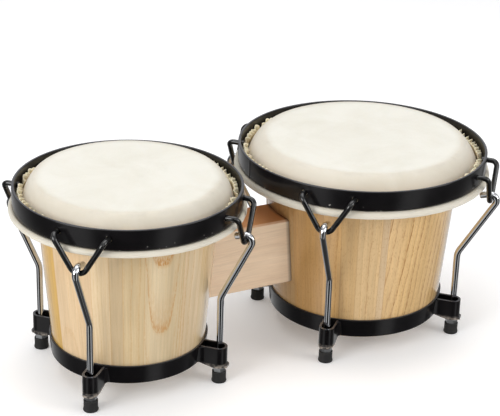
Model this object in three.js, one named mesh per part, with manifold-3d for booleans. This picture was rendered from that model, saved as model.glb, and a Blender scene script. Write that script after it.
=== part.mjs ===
// A pair of bongo drums joined by a centre block, standing on rubber feet. Millimetres, +Z up.
// +X runs from the small drum to the large one. The feet stand on z = 0.
import * as THREE from 'three';
import Module from 'manifold-3d';
import { mergeVertices } from 'three/addons/utils/BufferGeometryUtils.js';

const wasm = await Module();
wasm.setup();

// ---- driving dimensions ----
const GAP = 0.3; // clearance between pieces that bear on each other
const RING_FACETS = 36; // facets around everything that circles a drum
const BORE_FACETS = 10; // facets around small round pieces
const LUG_ANGLES = [45, 135, 225, 315]; // degrees around each drum

const CENTRE_SPACING = 231.6; // drum axis to drum axis
const SMALL = {
  name: 'small', rimRadius: 99, shellTopRadius: 80.6, shellBottomRadius: 66.8, rodRadius: 85.5,
  hoopWire: 1.2, tuckRadius: 2.7, tuckOffset: 0.6,
};
const LARGE = {
  name: 'large', rimRadius: 113.5, shellTopRadius: 91.6, shellBottomRadius: 78.1, rodRadius: 95.5,
  hoopWire: 1.8, tuckRadius: 3.4, tuckOffset: 0,
};
SMALL.x = -(CENTRE_SPACING + LARGE.rimRadius - SMALL.rimRadius) / 2;
LARGE.x = SMALL.x + CENTRE_SPACING;

const SHELL = { bottom: 17.5, top: 182, wall: 8.5, bearingRound: 3.2 };
const HEAD = { top: 183.5, thickness: 1.2, plateauInset: 1.6, skirtEnd: 160, skirtInset: 7.7 };
const RIM = {
  bottom: 158.5, top: 176.5, thickness: 2.5, holeHeight: 168.3, holeOffset: 22.2, holeRadius: 3.2,
};
const CUT_EDGE = { inset: 3.8, bendBelow: 0.9, top: 172, notch: 6.6, notchBottom: 165 };
const BAND = { bottom: 19, top: 36, thickness: 1.6 };
const BRACKET = {
  radius: 7, strap: 2, bottom: 15.6, top: 34.7,
  floor: 2.2, hole: 3.8, lip: 1.2, flare: 5, facets: 12,
};
const HOOK = { wire: 2.4, outset: 7.6, apex: 131.5, bottomBend: 8, topBend: 5, reach: 2.2 };
const ROD = {
  radius: 3, end: 7.5, bendHeight: 82, bendRadius: 16, stubInset: 2, stubHeight: 142.5,
};
const WASHER = { radius: 6.2, thickness: 1.1 };
const NUT = { acrossFlats: 10, height: 3, sleeveRadius: 4.5, sleeveEnd: 3.4, bore: 3.35 };
const FOOT = { radius: 6.25, flare: 6.8, flareHeight: 1.6, height: 10.6, floor: 2.4, bore: 4.8 };
const BLOCK = { bottom: 60, top: 123, width: 40, edge: 1.5 };
const BOLT = {
  heights: [78, 105], radius: 3, clearance: 3.3, headFlats: 10, headHeight: 4.5, depth: 28,
};
const PLATE = { width: 18, bottom: 66, top: 117, thickness: 2 };

const COLOURS = {
  paleWood: [0xd8c09a, 0.3, 0],
  goldenWood: [0xc8a06a, 0.3, 0],
  rawWood: [0xcfac82, 0.8, 0],
  rawhide: [0xece4d2, 0.6, 0],
  blackSteel: [0x17171a, 0.45, 0.6],
  glossBlack: [0x0c0c0e, 0.2, 0.6],
  chrome: [0xd9dce0, 0.12, 1],
  zinc: [0xb0b3b6, 0.35, 1],
  rubber: [0x141414, 0.85, 0],
};

// ---- making solids ----
// A closed indexed geometry from corner positions and triangles.
function geometryOf(positions, triangles) {
  const geometry = new THREE.BufferGeometry();
  geometry.setAttribute('position', new THREE.Float32BufferAttribute(positions, 3));
  geometry.setIndex(triangles);
  return geometry;
}

// Turns a profile of [radius, z] pairs about Z. The solid lies left of the profile's path.
// A profile that starts on the axis ends there too, and any other one closes on itself.
function revolve(profile, facets = RING_FACETS) {
  const onAxis = profile[0][0] === 0;
  const positions = [];
  const rows = profile.map(([radius, z]) => {
    const first = positions.length / 3;
    const count = radius === 0 ? 1 : facets;
    for (let k = 0; k < count; k++) {
      const angle = (2 * Math.PI * k) / facets;
      positions.push(radius * Math.cos(angle), radius * Math.sin(angle), z);
    }
    return (k) => first + (k % count);
  });
  const triangles = [];
  const spans = onAxis ? rows.length - 1 : rows.length;
  for (let i = 0; i < spans; i++) {
    const low = rows[i];
    const high = rows[(i + 1) % rows.length];
    for (let k = 0; k < facets; k++) {
      if (low(k) !== low(k + 1)) triangles.push(low(k), low(k + 1), high(k));
      if (high(k) !== high(k + 1)) triangles.push(low(k + 1), high(k + 1), high(k));
    }
  }
  return geometryOf(positions, triangles);
}

// A solid cylinder or prism about Z.
function post(radius, bottom, top, facets = BORE_FACETS) {
  return revolve([[0, bottom], [radius, bottom], [radius, top], [0, top]], facets);
}

// An outline in X and Y, given counter-clockwise, raised from one height to another.
function slab(outline, bottom, top) {
  const shape = new THREE.Shape(outline.map(([x, y]) => new THREE.Vector2(x, y)));
  const geometry = new THREE.ExtrudeGeometry(shape, { depth: top - bottom, bevelEnabled: false });
  geometry.translate(0, 0, bottom);
  geometry.deleteAttribute('normal');
  geometry.deleteAttribute('uv');
  return mergeVertices(geometry, 1e-4);
}

function box(low, high) {
  const outline = [[low[0], low[1]], [high[0], low[1]], [high[0], high[1]], [low[0], high[1]]];
  return slab(outline, low[2], high[2]);
}

// A round wire along a path of points, mitred at each one and closed at both ends.
function wire(path, radius, sides) {
  const positions = [];
  const triangles = [];
  const along = path.slice(1).map((point, i) => point.clone().sub(path[i]).normalize());
  let across = new THREE.Vector3(0, 1, 0);
  if (Math.abs(across.dot(along[0])) > 0.9) across = new THREE.Vector3(0, 0, 1);
  across.cross(along[0]).normalize();
  path.forEach((point, i) => {
    const before = along[Math.max(i - 1, 0)];
    const after = along[Math.min(i, along.length - 1)];
    const mitre = before.clone().add(after).normalize();
    const turned = new THREE.Quaternion().setFromUnitVectors(before, after);
    for (let k = 0; k < sides; k++) {
      const turn = (2 * Math.PI * k) / sides;
      const spoke = across.clone().applyAxisAngle(before, turn).multiplyScalar(radius);
      const slide = -spoke.dot(mitre) / before.dot(mitre);
      positions.push(...point.clone().add(spoke).addScaledVector(before, slide).toArray());
    }
    across.applyQuaternion(turned);
  });
  for (let i = 0; i + 1 < path.length; i++) {
    for (let k = 0; k < sides; k++) {
      const a = i * sides + k;
      const b = i * sides + ((k + 1) % sides);
      triangles.push(a, b, a + sides, b, b + sides, a + sides);
    }
  }
  const last = (path.length - 1) * sides;
  for (let k = 1; k + 1 < sides; k++) {
    triangles.push(0, k + 1, k, last, last + k, last + k + 1);
  }
  return geometryOf(positions, triangles);
}

// Points on an arc about a centre, from one point to another, both included.
function arc(centre, from, to, steps) {
  const start = from.clone().sub(centre);
  const end = to.clone().sub(centre);
  const angle = start.angleTo(end);
  return Array.from({ length: steps + 1 }, (_, i) => {
    const startShare = Math.sin((1 - i / steps) * angle) / Math.sin(angle);
    const endShare = Math.sin((i / steps) * angle) / Math.sin(angle);
    return centre.clone().addScaledVector(start, startShare).addScaledVector(end, endShare);
  });
}

// The arc that rounds the corner between two neighbouring points.
function roundedCorner(before, corner, after, radius, steps) {
  const back = before.clone().sub(corner).normalize();
  const on = after.clone().sub(corner).normalize();
  const half = back.angleTo(on) / 2;
  const reach = radius / Math.tan(half);
  const inward = back.clone().add(on).normalize();
  const centre = corner.clone().addScaledVector(inward, radius / Math.sin(half));
  const start = corner.clone().addScaledVector(back, reach);
  const end = corner.clone().addScaledVector(on, reach);
  return arc(centre, start, end, steps);
}

function toManifold(geometry) {
  const vertProperties = new Float32Array(geometry.attributes.position.array);
  const triVerts = new Uint32Array(geometry.index.array);
  return new wasm.Manifold(new wasm.Mesh({ numProp: 3, vertProperties, triVerts }));
}

function fromManifold(manifold) {
  const mesh = manifold.getMesh();
  return geometryOf(Array.from(mesh.vertProperties), Array.from(mesh.triVerts));
}

function joined(geometries) {
  return fromManifold(geometries.map(toManifold).reduce((sum, next) => sum.add(next)));
}

function cut(geometry, tools) {
  const whole = toManifold(geometry);
  return fromManifold(tools.map(toManifold).reduce((left, tool) => left.subtract(tool), whole));
}

function common(geometry, other) {
  return fromManifold(toManifold(geometry).intersect(toManifold(other)));
}

// ---- shapes shared by several pieces ----
// The shell's outer radius at a height.
function shellRadius(drum, z) {
  const share = (z - SHELL.bottom) / (SHELL.top - SHELL.bottom);
  return drum.shellBottomRadius + share * (drum.shellTopRadius - drum.shellBottomRadius);
}

// Offsets a profile sideways to the left of its path, point by point.
function offsetProfile(profile, distance) {
  return profile.map((point, i) => {
    const before = profile[Math.max(i - 1, 0)];
    const after = profile[Math.min(i + 1, profile.length - 1)];
    const length = Math.hypot(after[0] - before[0], after[1] - before[1]);
    const left = [-(after[1] - before[1]) / length, (after[0] - before[0]) / length];
    return [point[0] + left[0] * distance, point[1] + left[1] * distance];
  });
}

// A strip of even thickness along a profile, as one closed profile.
function strip(profile, thickness) {
  const right = offsetProfile(profile, -thickness / 2);
  const left = offsetProfile(profile, thickness / 2);
  return [...right, ...left.reverse()];
}

// The line of a lug's V-hook bottom, where the rod hangs: [distance from the drum's axis, height].
function hookBottom(drum) {
  const half = Math.atan(RIM.holeOffset / (RIM.holeHeight - HOOK.apex));
  return [drum.rimRadius + HOOK.outset, HOOK.apex + HOOK.bottomBend * (1 / Math.sin(half) - 1)];
}

// How far along a lug's direction a hook's ends reach inside the rim.
function hookEnd(drum) {
  return Math.sqrt((drum.rimRadius - RIM.thickness) ** 2 - RIM.holeOffset ** 2) - HOOK.reach;
}

// Turns a piece from the +X side of a drum to one of its lugs.
function atLug(geometry, drum, lug) {
  geometry.rotateZ(THREE.MathUtils.degToRad(LUG_ANGLES[lug]));
  return atDrum(geometry, drum);
}

function atDrum(geometry, drum) {
  return geometry.translate(drum.x, 0, 0);
}

// ---- one drum's own pieces, built about the Z axis ----
// A tapered wooden shell with a rounded bearing edge and holes for the centre block's bolts.
function shell(drum, blockSide) {
  const outer = (z) => shellRadius(drum, z);
  const round = SHELL.bearingRound;
  const profile = [
    [outer(SHELL.bottom), SHELL.bottom],
    [outer(SHELL.top - round), SHELL.top - round],
    [outer(SHELL.top) - 0.3 * round, SHELL.top - 0.3 * round],
    [outer(SHELL.top) - round, SHELL.top],
    [outer(SHELL.top) - SHELL.wall + 1, SHELL.top],
    [outer(SHELL.top) - SHELL.wall, SHELL.top - 1],
    [outer(SHELL.bottom) - SHELL.wall, SHELL.bottom],
  ];
  return cut(revolve(profile), BOLT.heights.map((z) => boltBore(drum, blockSide, z)));
}

// The playing surface and the skirt that comes down over the shell.
function headSkin(drum) {
  const edge = drum.shellTopRadius - HEAD.plateauInset;
  const spread = drum.rimRadius - HEAD.skirtInset - edge;
  const drop = HEAD.top - HEAD.skirtEnd;
  const shares = [[0, 0], [0.16, 0.045], [0.38, 0.17], [0.62, 0.38], [0.84, 0.66], [1, 1]];
  const outer = shares.map(([across, down]) => [edge + across * spread, HEAD.top - down * drop]);
  const inner = offsetProfile(outer, -HEAD.thickness);
  inner[0] = [edge - 1, HEAD.top - HEAD.thickness];
  const under = [[0, HEAD.top - HEAD.thickness], ...inner];
  return revolve([...under, ...outer.reverse(), [0, HEAD.top]]);
}

// The middle of the flesh hoop's section, under the rim: [distance from the drum's axis, height].
function hoopCentre(drum) {
  return [drum.rimRadius + drum.tuckOffset, RIM.bottom - GAP - drum.tuckRadius];
}

// The skin tucked round the flesh hoop, ending in the cut edge that stands inside the rim.
// The cut edge is notched where the ends of the hooks come through.
function headCollar(drum) {
  const centre = hoopCentre(drum);
  const radius = drum.tuckRadius - HEAD.thickness / 2;
  const line = [];
  for (let angle = 165; angle <= 495; angle += 55) {
    const turn = THREE.MathUtils.degToRad(angle);
    line.push([centre[0] + radius * Math.cos(turn), centre[1] + radius * Math.sin(turn)]);
  }
  const edge = drum.rimRadius - CUT_EDGE.inset;
  line.push([edge, RIM.bottom - CUT_EDGE.bendBelow], [edge, CUT_EDGE.top]);
  const ring = revolve(strip(line, HEAD.thickness));
  return cut(ring, LUG_ANGLES.flatMap((angle) => [-1, 1].map((side) => {
    const middle = side * RIM.holeOffset;
    const low = [drum.rimRadius - 25, middle - CUT_EDGE.notch / 2, CUT_EDGE.notchBottom];
    const high = [drum.rimRadius, middle + CUT_EDGE.notch / 2, RIM.top];
    return box(low, high).rotateZ(THREE.MathUtils.degToRad(angle));
  })));
}

// The steel ring inside the tucked skin.
function fleshHoop(drum) {
  const centre = hoopCentre(drum);
  const profile = [];
  for (let angle = 0; angle < 360; angle += 60) {
    const turn = THREE.MathUtils.degToRad(angle);
    profile.push([
      centre[0] + drum.hoopWire * Math.cos(turn),
      centre[1] + drum.hoopWire * Math.sin(turn),
    ]);
  }
  return revolve(profile);
}

// Bores through the rim for the ends of every hook, along each lug's direction.
function rimHoles(drum, radius) {
  return LUG_ANGLES.flatMap((angle) => [-1, 1].map((side) => {
    const bore = post(radius, drum.rimRadius - 20, drum.rimRadius + 10, 8);
    bore.rotateY(Math.PI / 2);
    bore.translate(0, side * RIM.holeOffset, RIM.holeHeight);
    return bore.rotateZ(THREE.MathUtils.degToRad(angle));
  }));
}

// The flat steel band that presses the flesh hoop down.
function rim(drum) {
  const outer = drum.rimRadius;
  const inner = outer - RIM.thickness;
  const soft = 0.6;
  const profile = [
    [inner, RIM.bottom],
    [outer, RIM.bottom],
    [outer, RIM.top - soft],
    [outer - soft, RIM.top],
    [inner + soft, RIM.top],
    [inner, RIM.top - soft],
  ];
  return cut(revolve(profile), rimHoles(drum, RIM.holeRadius));
}

// One welded cup on the bottom band: a U-shaped strap with a floor that the rod passes through.
function bracket(drum) {
  const axis = drum.rodRadius;
  const band = shellRadius(drum, BAND.top) + GAP;
  const half = BRACKET.radius;
  const slot = half - BRACKET.strap;
  const floorTop = BRACKET.bottom + BRACKET.floor;
  const flaredRoot = [
    [band - 2, -half - BRACKET.flare],
    [band + BRACKET.flare, -half],
    [band + BRACKET.flare, half],
    [band - 2, half + BRACKET.flare],
  ];
  const underside = [
    [band - 5, -BAND.bottom - 1],
    [axis - 4, -BRACKET.bottom],
    [axis - 4, 0],
    [band - 5, 0],
  ];
  const body = joined([
    post(half, BRACKET.bottom, BRACKET.top, BRACKET.facets).translate(axis, 0, 0),
    box([band - 4, -half, BRACKET.bottom], [axis, half, BRACKET.top]),
    box([axis, -half + 2, BRACKET.bottom], [axis + half + BRACKET.lip, half - 2, floorTop]),
    slab(flaredRoot, BAND.bottom + 1, BRACKET.top - 1),
  ]);
  const slope = slab(underside, -half - 8, half + 8);
  slope.rotateX(-Math.PI / 2);
  return cut(body, [
    post(slot, floorTop, BRACKET.top + 5, BRACKET.facets).translate(axis, 0, 0),
    box([band - 8, -slot, floorTop], [axis, slot, BRACKET.top + 5]),
    post(BRACKET.hole, 0, BRACKET.top, 8).translate(axis, 0, 0),
    slope,
  ]);
}

// The bottom steel band with its welded brackets, following the shell's taper.
function bottomBand(drum) {
  const inner = (z) => shellRadius(drum, z) + GAP;
  const outer = (z) => inner(z) + BAND.thickness;
  const ring = revolve([
    [inner(BAND.bottom), BAND.bottom],
    [outer(BAND.bottom), BAND.bottom],
    [outer(BAND.top), BAND.top],
    [inner(BAND.top), BAND.top],
  ]);
  const turns = LUG_ANGLES.map((angle) => THREE.MathUtils.degToRad(angle));
  const brackets = turns.map((turn) => bracket(drum).rotateZ(turn));
  const core = revolve([[0, 0], [inner(0), 0], [inner(60), 60], [0, 60]]);
  return cut(joined([ring, ...brackets]), [core]);
}

// ---- a lug's pieces, built on the +X side of the drum ----
// The V-shaped wire whose two ends turn in through the rim.
function hook(drum) {
  const [out] = hookBottom(drum);
  const inside = new THREE.Vector3(hookEnd(drum), RIM.holeOffset, RIM.holeHeight);
  const shoulder = new THREE.Vector3(out, RIM.holeOffset, RIM.holeHeight);
  const apex = new THREE.Vector3(out, 0, HOOK.apex);
  const mirror = (point) => new THREE.Vector3(point.x, -point.y, point.z);
  const arm = [inside, ...roundedCorner(inside, shoulder, apex, HOOK.topBend, 2)];
  const bottom = roundedCorner(shoulder, apex, mirror(shoulder), HOOK.bottomBend, 4);
  return wire([...arm, ...bottom, ...arm.map(mirror).reverse()], HOOK.wire, 8);
}

// Where a line from a point touches a circle. Side picks one of the two touching points.
function touchPoint(point, centre, radius, side) {
  const away = point.clone().sub(centre);
  const turn = side * Math.acos(radius / away.length());
  return away.setLength(radius).applyAxisAngle(new THREE.Vector3(0, -1, 0), turn).add(centre);
}

// The tuning rod: threaded foot end, a bend above the bracket and a hook over the V.
function rod(drum) {
  const [out, low] = hookBottom(drum);
  const hold = new THREE.Vector3(out, 0, low);
  const curl = HOOK.wire + ROD.radius + GAP;
  const end = new THREE.Vector3(drum.rodRadius, 0, ROD.end);
  const bend = new THREE.Vector3(drum.rodRadius, 0, ROD.bendHeight);
  const stub = new THREE.Vector3(drum.rimRadius - ROD.stubInset, 0, ROD.stubHeight);
  const outerTouch = touchPoint(bend, hold, curl, 1);
  const upperTouch = touchPoint(stub, hold, curl, -1);
  return wire([
    end,
    ...roundedCorner(end, bend, outerTouch, ROD.bendRadius, 2),
    ...arc(hold, outerTouch, upperTouch, 4),
    stub,
  ], ROD.radius, 8);
}

function washer(drum) {
  const top = BRACKET.bottom - GAP;
  const bottom = top - WASHER.thickness;
  const inner = NUT.bore;
  const outer = WASHER.radius;
  const profile = [[inner, bottom], [outer, bottom], [outer, top], [inner, top]];
  return revolve(profile, BORE_FACETS).translate(drum.rodRadius, 0, 0);
}

// The tuning nut: a hexagon over a round sleeve that the rubber foot is pushed on to.
function nut(drum) {
  const bottom = FOOT.height + GAP;
  const corner = NUT.acrossFlats / Math.sqrt(3);
  const body = joined([
    post(corner, bottom, bottom + NUT.height, 6),
    post(NUT.sleeveRadius, NUT.sleeveEnd, bottom + NUT.height - 1),
  ]);
  return cut(body, [post(NUT.bore, 0, 30)]).translate(drum.rodRadius, 0, 0);
}

// The rubber cup that each lug stands on.
function foot(drum) {
  const profile = [
    [0, 0],
    [FOOT.flare, 0],
    [FOOT.flare, FOOT.flareHeight],
    [FOOT.radius, FOOT.flareHeight + 0.8],
    [FOOT.radius, FOOT.height],
    [FOOT.bore, FOOT.height],
    [FOOT.bore, FOOT.floor],
    [0, FOOT.floor],
  ];
  return revolve(profile, BORE_FACETS).translate(drum.rodRadius, 0, 0);
}

// ---- the centre block and what fixes it ----
// A bore through a shell's wall at a bolt's height. Block side is 1 where the block is at +X.
function boltBore(drum, blockSide, z) {
  const bore = post(BOLT.clearance, 0, drum.shellTopRadius + 50);
  return bore.rotateY((blockSide * Math.PI) / 2).translate(0, 0, z);
}

// The wooden block, its ends hollowed to the shells.
function centreBlock() {
  const half = BLOCK.width / 2;
  const edge = BLOCK.edge;
  const outline = [
    [BLOCK.bottom, -half + edge], [BLOCK.bottom + edge, -half], [BLOCK.top - edge, -half],
    [BLOCK.top, -half + edge], [BLOCK.top, half - edge], [BLOCK.top - edge, half],
    [BLOCK.bottom + edge, half], [BLOCK.bottom, half - edge],
  ];
  const bar = slab(outline, -LARGE.x, -SMALL.x).rotateY(-Math.PI / 2);
  const ends = [SMALL, LARGE].map((drum) => {
    const radius = (z) => shellRadius(drum, z) + GAP;
    return atDrum(revolve([[0, 40], [radius(40), 40], [radius(140), 140], [0, 140]]), drum);
  });
  const bores = [[SMALL, 1], [LARGE, -1]].flatMap(([drum, side]) => BOLT.heights.map((z) => {
    const length = shellRadius(drum, z) + BOLT.depth + 2;
    const bore = post(BOLT.clearance, 0, length).rotateY((side * Math.PI) / 2);
    return atDrum(bore.translate(0, 0, z), drum);
  }));
  return cut(bar, [...ends, ...bores]);
}

// Distance from the axis to a plate's inner face at a height.
function plateFace(drum, z) {
  return shellRadius(drum, z) - SHELL.wall - GAP - PLATE.thickness;
}

// A curved steel plate inside the shell that spreads the load of the bolts.
function backingPlate(drum, side) {
  const inner = (z) => plateFace(drum, z);
  const outer = (z) => inner(z) + PLATE.thickness;
  const ring = revolve([[inner(40), 40], [outer(40), 40], [outer(140), 140], [inner(140), 140]]);
  const window = box([20, -PLATE.width / 2, PLATE.bottom], [120, PLATE.width / 2, PLATE.top]);
  const plate = cut(common(ring, window), BOLT.heights.map((z) => boltBore(drum, 1, z)));
  return atDrum(side > 0 ? plate : plate.rotateZ(Math.PI), drum);
}

// A hex-headed bolt from inside a shell into the block.
function blockBolt(drum, side, z) {
  const corner = BOLT.headFlats / Math.sqrt(3);
  const face = Math.sqrt(plateFace(drum, z - corner) ** 2 - corner ** 2) - GAP;
  const bolt = joined([
    post(corner, face - BOLT.headHeight, face, 6),
    post(BOLT.radius, face - 1, shellRadius(drum, z) + BOLT.depth),
  ]);
  return atDrum(bolt.rotateY((side * Math.PI) / 2).translate(0, 0, z), drum);
}

// ---- assembly ----
const part = new THREE.Group();
part.name = 'bongo_drums';

function add(name, geometry, colour) {
  const [color, roughness, metalness] = COLOURS[colour];
  geometry.computeVertexNormals();
  const material = new THREE.MeshStandardMaterial({ color, roughness, metalness });
  const mesh = new THREE.Mesh(geometry, material);
  mesh.name = name;
  part.add(mesh);
}

function addDrum(drum, blockSide, wood) {
  add(`${drum.name}_shell`, atDrum(shell(drum, blockSide), drum), wood);
  add(`${drum.name}_head_skin`, atDrum(headSkin(drum), drum), 'rawhide');
  add(`${drum.name}_head_collar`, atDrum(headCollar(drum), drum), 'rawhide');
  add(`${drum.name}_flesh_hoop`, atDrum(fleshHoop(drum), drum), 'zinc');
  add(`${drum.name}_rim`, atDrum(rim(drum), drum), 'blackSteel');
  add(`${drum.name}_bottom_band`, atDrum(bottomBand(drum), drum), 'blackSteel');
  const lugPieces = [
    ['hook', hook, 'glossBlack'],
    ['rod', rod, 'chrome'],
    ['washer', washer, 'zinc'],
    ['nut', nut, 'zinc'],
    ['foot', foot, 'rubber'],
  ];
  for (const [piece, make, colour] of lugPieces) {
    LUG_ANGLES.forEach((_, lug) => {
      add(`${drum.name}_${piece}_${lug + 1}`, atLug(make(drum), drum, lug), colour);
    });
  }
  add(`${drum.name}_backing_plate`, backingPlate(drum, blockSide), 'zinc');
  BOLT.heights.forEach((z, i) => {
    add(`${drum.name}_block_bolt_${i + 1}`, blockBolt(drum, blockSide, z), 'zinc');
  });
}

addDrum(SMALL, 1, 'paleWood');
addDrum(LARGE, -1, 'goldenWood');
add('centre_block', centreBlock(), 'rawWood');

export default part;
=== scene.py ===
"""Bongo drums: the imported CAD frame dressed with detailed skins, wood, hardware and a plain studio."""

import math
import random
from collections import namedtuple

import bpy
from mathutils import Matrix, Vector

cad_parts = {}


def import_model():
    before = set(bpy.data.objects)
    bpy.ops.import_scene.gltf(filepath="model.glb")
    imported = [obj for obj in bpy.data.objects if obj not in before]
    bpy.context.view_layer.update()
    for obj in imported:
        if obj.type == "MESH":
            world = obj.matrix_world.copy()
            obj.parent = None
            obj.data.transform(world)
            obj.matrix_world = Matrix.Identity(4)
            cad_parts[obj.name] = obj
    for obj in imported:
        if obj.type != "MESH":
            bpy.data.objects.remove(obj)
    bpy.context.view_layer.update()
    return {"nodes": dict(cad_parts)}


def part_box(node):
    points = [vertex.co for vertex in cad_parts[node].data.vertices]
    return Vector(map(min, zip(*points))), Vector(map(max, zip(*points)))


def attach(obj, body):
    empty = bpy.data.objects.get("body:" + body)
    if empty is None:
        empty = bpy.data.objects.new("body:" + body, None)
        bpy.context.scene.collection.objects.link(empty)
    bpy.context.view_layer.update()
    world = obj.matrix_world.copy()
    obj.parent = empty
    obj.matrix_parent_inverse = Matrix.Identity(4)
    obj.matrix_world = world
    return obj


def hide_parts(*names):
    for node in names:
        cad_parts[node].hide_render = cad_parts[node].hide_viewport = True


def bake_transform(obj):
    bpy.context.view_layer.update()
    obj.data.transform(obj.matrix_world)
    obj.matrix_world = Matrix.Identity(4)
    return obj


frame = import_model()

MM = 0.001
TURN = 2 * math.pi
LUG_ANGLES = (45, 135, 225, 315)

# ---- dimensions that the details share with the frame, in metres ----
CLEARANCE = 0.3 * MM
SKIN_THICKNESS = 1.2 * MM
SKIRT_END = 160 * MM
PLEAT_WIDTH = 7.4 * MM
RIM_THICKNESS = 2.5 * MM
HOLE_OFFSET = 22.2 * MM
HOLE_RADIUS = 2.75 * MM
HOLE_HEIGHT = 168.3 * MM
WIRE_SIDES = 20
HOOK_WIRE = 2.4 * MM
HOOK_OUTSET = 7.6 * MM
HOOK_APEX = 131.5 * MM
HOOK_BOTTOM_BEND = 8 * MM
HOOK_TOP_BEND = 5 * MM
HOOK_REACH = 2.2 * MM
ROD_RADIUS = 3 * MM
ROD_END = 7.5 * MM
ROD_BEND_HEIGHT = 82 * MM
ROD_BEND_RADIUS = 16 * MM
ROD_STUB_INSET = 2 * MM
ROD_STUB_HEIGHT = 142.5 * MM
THREAD_TOP = 33 * MM
THREAD_PITCH = 1 * MM
THREAD_STEP = THREAD_PITCH / 4
THREAD_DEPTH = 0.045
SHELL_WALL = 8.5 * MM
BEARING_EDGE = 3.2 * MM
BAND_LOW = 19 * MM
BAND_HIGH = 36 * MM
BAND_THICKNESS = 1.6 * MM
BRACKET_LOW = 15.6 * MM
BRACKET_FLOOR = 17.8 * MM
BRACKET_HIGH = 34.7 * MM
BRACKET_HALF = 7 * MM
BRACKET_SLOT = 5 * MM
BRACKET_HOLE = 3.8 * MM


class Drum:
    """The measures of one drum, read from its nodes in the frame. The skin is tucked into a roll of
    tuck_radius whose middle stands tuck_out past the rim's outside."""

    def __init__(self, name, tuck_radius, tuck_out):
        self.name = name
        self.body = name + "_tuning_ring"
        low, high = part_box(name + "_rim")
        self.x = (low.x + high.x) / 2
        self.place = Matrix.Translation((self.x, 0, 0))
        self.rim_radius = (high.x - low.x) / 2
        self.rim_bottom, self.rim_top = low.z, high.z
        low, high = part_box(name + "_shell")
        self.shell_top_radius = (high.x - low.x) / 2
        self.shell_bottom, self.shell_top = low.z, high.z
        self.shell_bottom_radius = self.radius_near(name + "_shell", self.shell_bottom)
        self.tuck_radius = tuck_radius
        self.tuck_centre = (self.rim_radius + tuck_out, self.rim_bottom - CLEARANCE - tuck_radius)
        self.head_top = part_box(name + "_head_skin")[1].z
        low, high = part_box(name + "_foot_1")
        self.rod_radius = math.hypot((low.x + high.x) / 2 - self.x, (low.y + high.y) / 2)

    def radius_near(self, node, height):
        """The largest radius of a node's points about the drum's axis, at a height."""
        points = [v.co for v in frame["nodes"][node].data.vertices if abs(v.co.z - height) < MM]
        return max(math.hypot(p.x - self.x, p.y) for p in points)

    def shell_radius(self, z):
        """The outside radius of the tapered shell at a height."""
        share = (z - self.shell_bottom) / (self.shell_top - BEARING_EDGE - self.shell_bottom)
        return self.shell_bottom_radius + share * (self.shell_top_radius - self.shell_bottom_radius)

    def to_lug(self, lug):
        """Moves a piece built on the +X side of a drum at the origin to one of its lugs."""
        return self.place @ Matrix.Rotation(math.radians(LUG_ANGLES[lug]), 4, "Z")


SMALL = Drum("small", 2.7 * MM, 0.6 * MM)
LARGE = Drum("large", 3.4 * MM, 0)


# ---- small sums ----
def clamped(share):
    return min(max(share, 0), 1)


def signed(angle):
    """The same angle, from half a turn back to half a turn on."""
    return (angle + math.pi) % TURN - math.pi


def round_point(centre, radius, degrees):
    """A point on a circle about a centre, in a plane."""
    angle = math.radians(degrees)
    return centre[0] + radius * math.cos(angle), centre[1] + radius * math.sin(angle)


# ---- mesh building ----
def make_object(name, points, faces, material):
    """A new mesh object from its points and faces."""
    mesh = bpy.data.meshes.new(name)
    mesh.from_pydata([tuple(p) for p in points], [], faces)
    mesh.validate()
    mesh.shade_smooth()
    mesh.materials.append(material)
    piece = bpy.data.objects.new(name, mesh)
    bpy.context.scene.collection.objects.link(piece)
    return piece


def lathe(name, profile, segments, material, shape=None):
    """A profile of (radius, z) turned about Z, with the solid on the left of its path.
    A profile that starts on the axis ends there, and any other closes on itself.
    shape(angle, radius, z) may move each point to a new (radius, z)."""
    on_axis = profile[0][0] == 0
    points, rows = [], []
    for radius, z in profile:
        first, count = len(points), 1 if radius == 0 else segments
        for k in range(count):
            angle = TURN * k / segments
            r, h = shape(angle, radius, z) if shape and radius else (radius, z)
            points.append((r * math.cos(angle), r * math.sin(angle), h))
        rows.append((first, count))
    faces = []
    for i in range(len(rows) - 1 if on_axis else len(rows)):
        low, low_count = rows[i]
        high, high_count = rows[(i + 1) % len(rows)]
        for k in range(segments):
            loop = [low + k % low_count, low + (k + 1) % low_count,
                    high + (k + 1) % high_count, high + k % high_count]
            faces.append([v for n, v in enumerate(loop) if v not in loop[:n]])
    return make_object(name, points, faces, material)


def wire_mesh(path, radius, sides, swell=None):
    """Points and faces of a round wire along a path, mitred at its points and closed at both ends.
    swell(point, k) may scale the radius."""
    along = [(b - a).normalized() for a, b in zip(path, path[1:])]
    across = Vector((0, 1, 0))
    if abs(across.dot(along[0])) > 0.9:
        across = Vector((0, 0, 1))
    across = across.cross(along[0]).normalized()
    points, faces = [], []
    for i, point in enumerate(path):
        before, after = along[max(i - 1, 0)], along[min(i, len(along) - 1)]
        mitre = (before + after).normalized()
        for k in range(sides):
            spoke = Matrix.Rotation(TURN * k / sides, 3, before) @ across * radius
            if swell:
                spoke *= swell(point, k)
            points.append(point + spoke - before * (spoke.dot(mitre) / before.dot(mitre)))
        across = before.rotation_difference(after) @ across
    for i in range(len(path) - 1):
        for k in range(sides):
            a, b = i * sides + k, i * sides + (k + 1) % sides
            faces.append((a, b, b + sides, a + sides))
    last = (len(path) - 1) * sides
    faces.append(tuple(reversed(range(sides))))
    faces.append(tuple(range(last, last + sides)))
    return points, faces


def arc(centre, start, end, steps):
    """Points on an arc about a centre from start to end, both included."""
    a, b = start - centre, end - centre
    angle = a.angle(b)
    return [centre + (a * math.sin((1 - i / steps) * angle) + b * math.sin(i / steps * angle))
            / math.sin(angle) for i in range(steps + 1)]


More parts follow.
